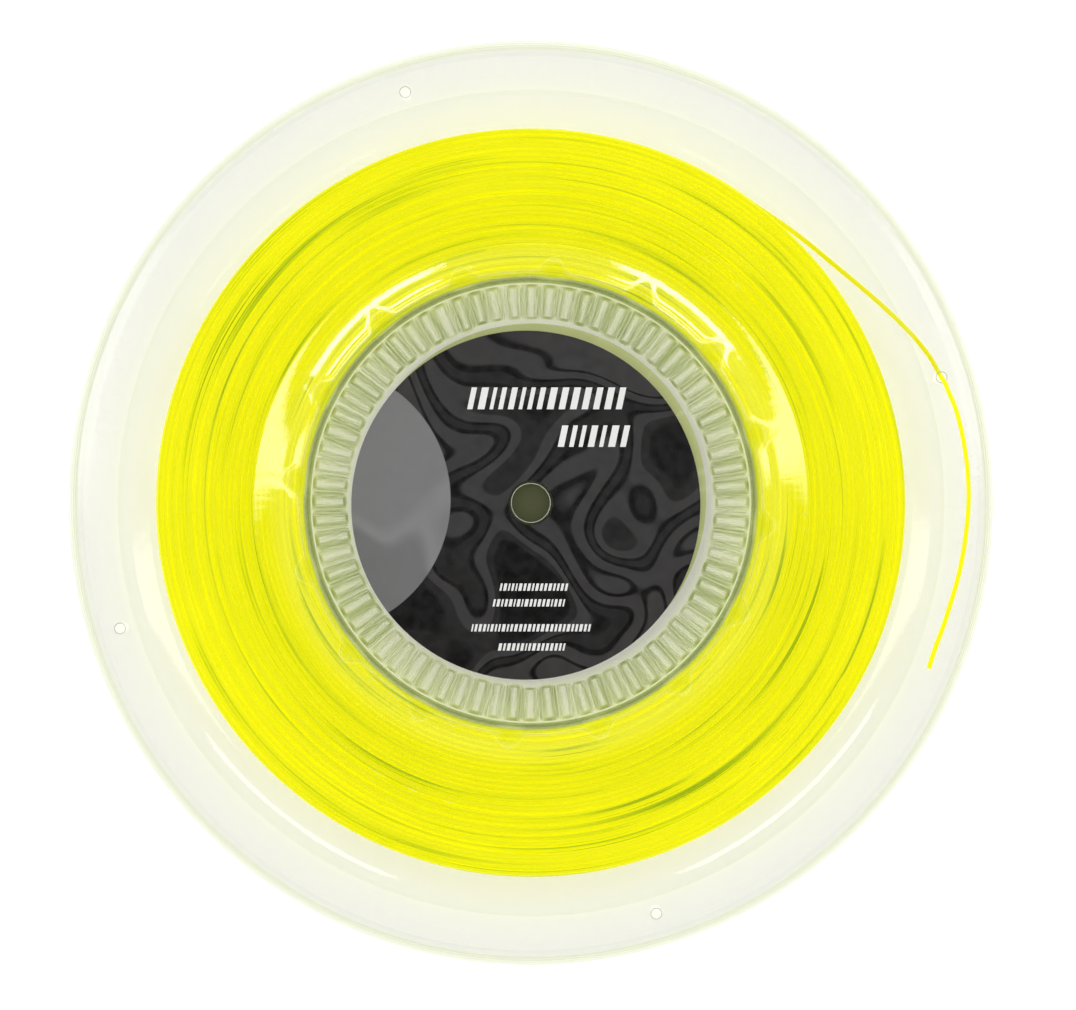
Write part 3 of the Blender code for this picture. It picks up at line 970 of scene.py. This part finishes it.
def disc(name, centre, radius, hole, low, high, material, node, wave):
    """A label as a closed polar grid, from the hole round the reel's axis to its own edge."""
    steps, rings = 180, 28
    angles = np.arange(steps) * tau / steps
    outward = np.column_stack([np.cos(angles), np.sin(angles)])
    shares = np.linspace(0, 1, rings)[:, None, None]
    flat = (1 - shares) * hole * outward + shares * (np.array(centre) + radius * outward)
    x, y = flat[:, :, 0], flat[:, :, 1]
    swell = wave * (np.sin(90 * x + 140 * y + 1) * np.sin(120 * y - 60 * x) - 1) / 2
    top = np.stack([x, y, high + swell], axis=2)
    bottom = np.stack([x, y, low + 0 * x], axis=2)[::-1]
    vertices = np.concatenate([top, bottom])
    count = 2 * rings
    index = np.arange(count * steps).reshape(count, steps)
    ahead = np.roll(index, -1, axis=0)
    faces = np.stack([index, ahead, np.roll(ahead, -1, axis=1), np.roll(index, -1, axis=1)], axis=2)
    vertices, faces = vertices.reshape(-1, 3), faces.reshape(-1, 4)
    return mesh_piece(name, vertices, faces, material, node, 30)


def print_marks(material):
    """Slanted bars where a label carries its print, as one raised skin. They spell nothing."""
    # left, right, foot and height of each line, and the width and gap of its bars, in millimetres
    lines = [
        (-16.6, 25.0, 24.4, 5.7, (0.9, 1.9), 1.3),
        (7.0, 25.0, 14.6, 5.6, (0.9, 1.9), 1.3),
        (-8.2, 9.4, -22.9, 1.9, (0.35, 0.8), 0.45),
        (-10.0, 8.6, -27.0, 1.9, (0.35, 0.9), 0.45),
        (-15.6, 15.6, -33.5, 1.9, (0.35, 0.9), 0.45),
        (-8.6, 8.8, -38.5, 1.9, (0.35, 0.9), 0.45),
    ]
    vertices, faces = [], []
    top = label_high[2] + PRINT_RAISE
    bottom = label_high[2] - PRINT_DEPTH
    for left, right, foot, height, (thin, wide), gap in lines:
        place = left
        while place < right - thin:
            width = min(random.uniform(thin, wide), right - place)
            lean = PRINT_LEAN * height
            corners = [(place, foot), (place + width, foot), (place + width + lean, foot + height),
                       (place + lean, foot + height)]
            first = len(vertices)
            vertices += [(x / 1000, y / 1000, z) for z in (bottom, top) for x, y in corners]
            faces += [[first + corner for corner in face] for face in BAR_FACES]
            place += width + gap
    mesh_piece("label_print", vertices, faces, material)


def middle(low, high):
    return ((low[0] + high[0]) / 2, (low[1] + high[1]) / 2)


def stick_labels():
    radius = (label_high[0] - label_low[0]) / 2
    disc("front_print", middle(label_low, label_high), radius, LABEL_HOLE, label_low[2],
         label_high[2], label_print_with_painted_reflection(), "front_label", LABEL_WAVE)
    rear = disc("rear_print", middle(rear_label_low, rear_label_high), radius, CLOSED_HOLE,
                rear_label_low[2], rear_label_high[2], label_backing(), "rear_label", 0.0)
    rear.data.materials.append(label_print_with_painted_reflection())
    for face in rear.data.polygons:
        face.material_index = 1 if face.normal.z < -0.5 else 0
    print_marks(plain_print("white_print", (0.86, 0.86, 0.86), (0.92, 0.92, 0.92), 0.35))


# ---------------------------------------------------------------- the scene
def main():
    bpy.context.scene.view_settings.view_transform = "Standard"
    bpy.context.scene.cycles.transparent_max_bounces = 32
    add_camera()
    add_floor()
    add_world()
    for softbox in SOFTBOXES:
        add_light(*softbox)
    thread_tail(yellow_string("yellow_string_free", False))
    wind_string(yellow_string("yellow_string_wound", True))
    half_shell("front_shell", 1, clear_plastic("clear_plastic_front", 0.016), "front_half")
    half_shell("rear_shell", -1, clear_plastic("clear_plastic_rear", 0.004), "rear_half")
    finish_holes(pale_edge_painted_highlight())
    stick_labels()


main()
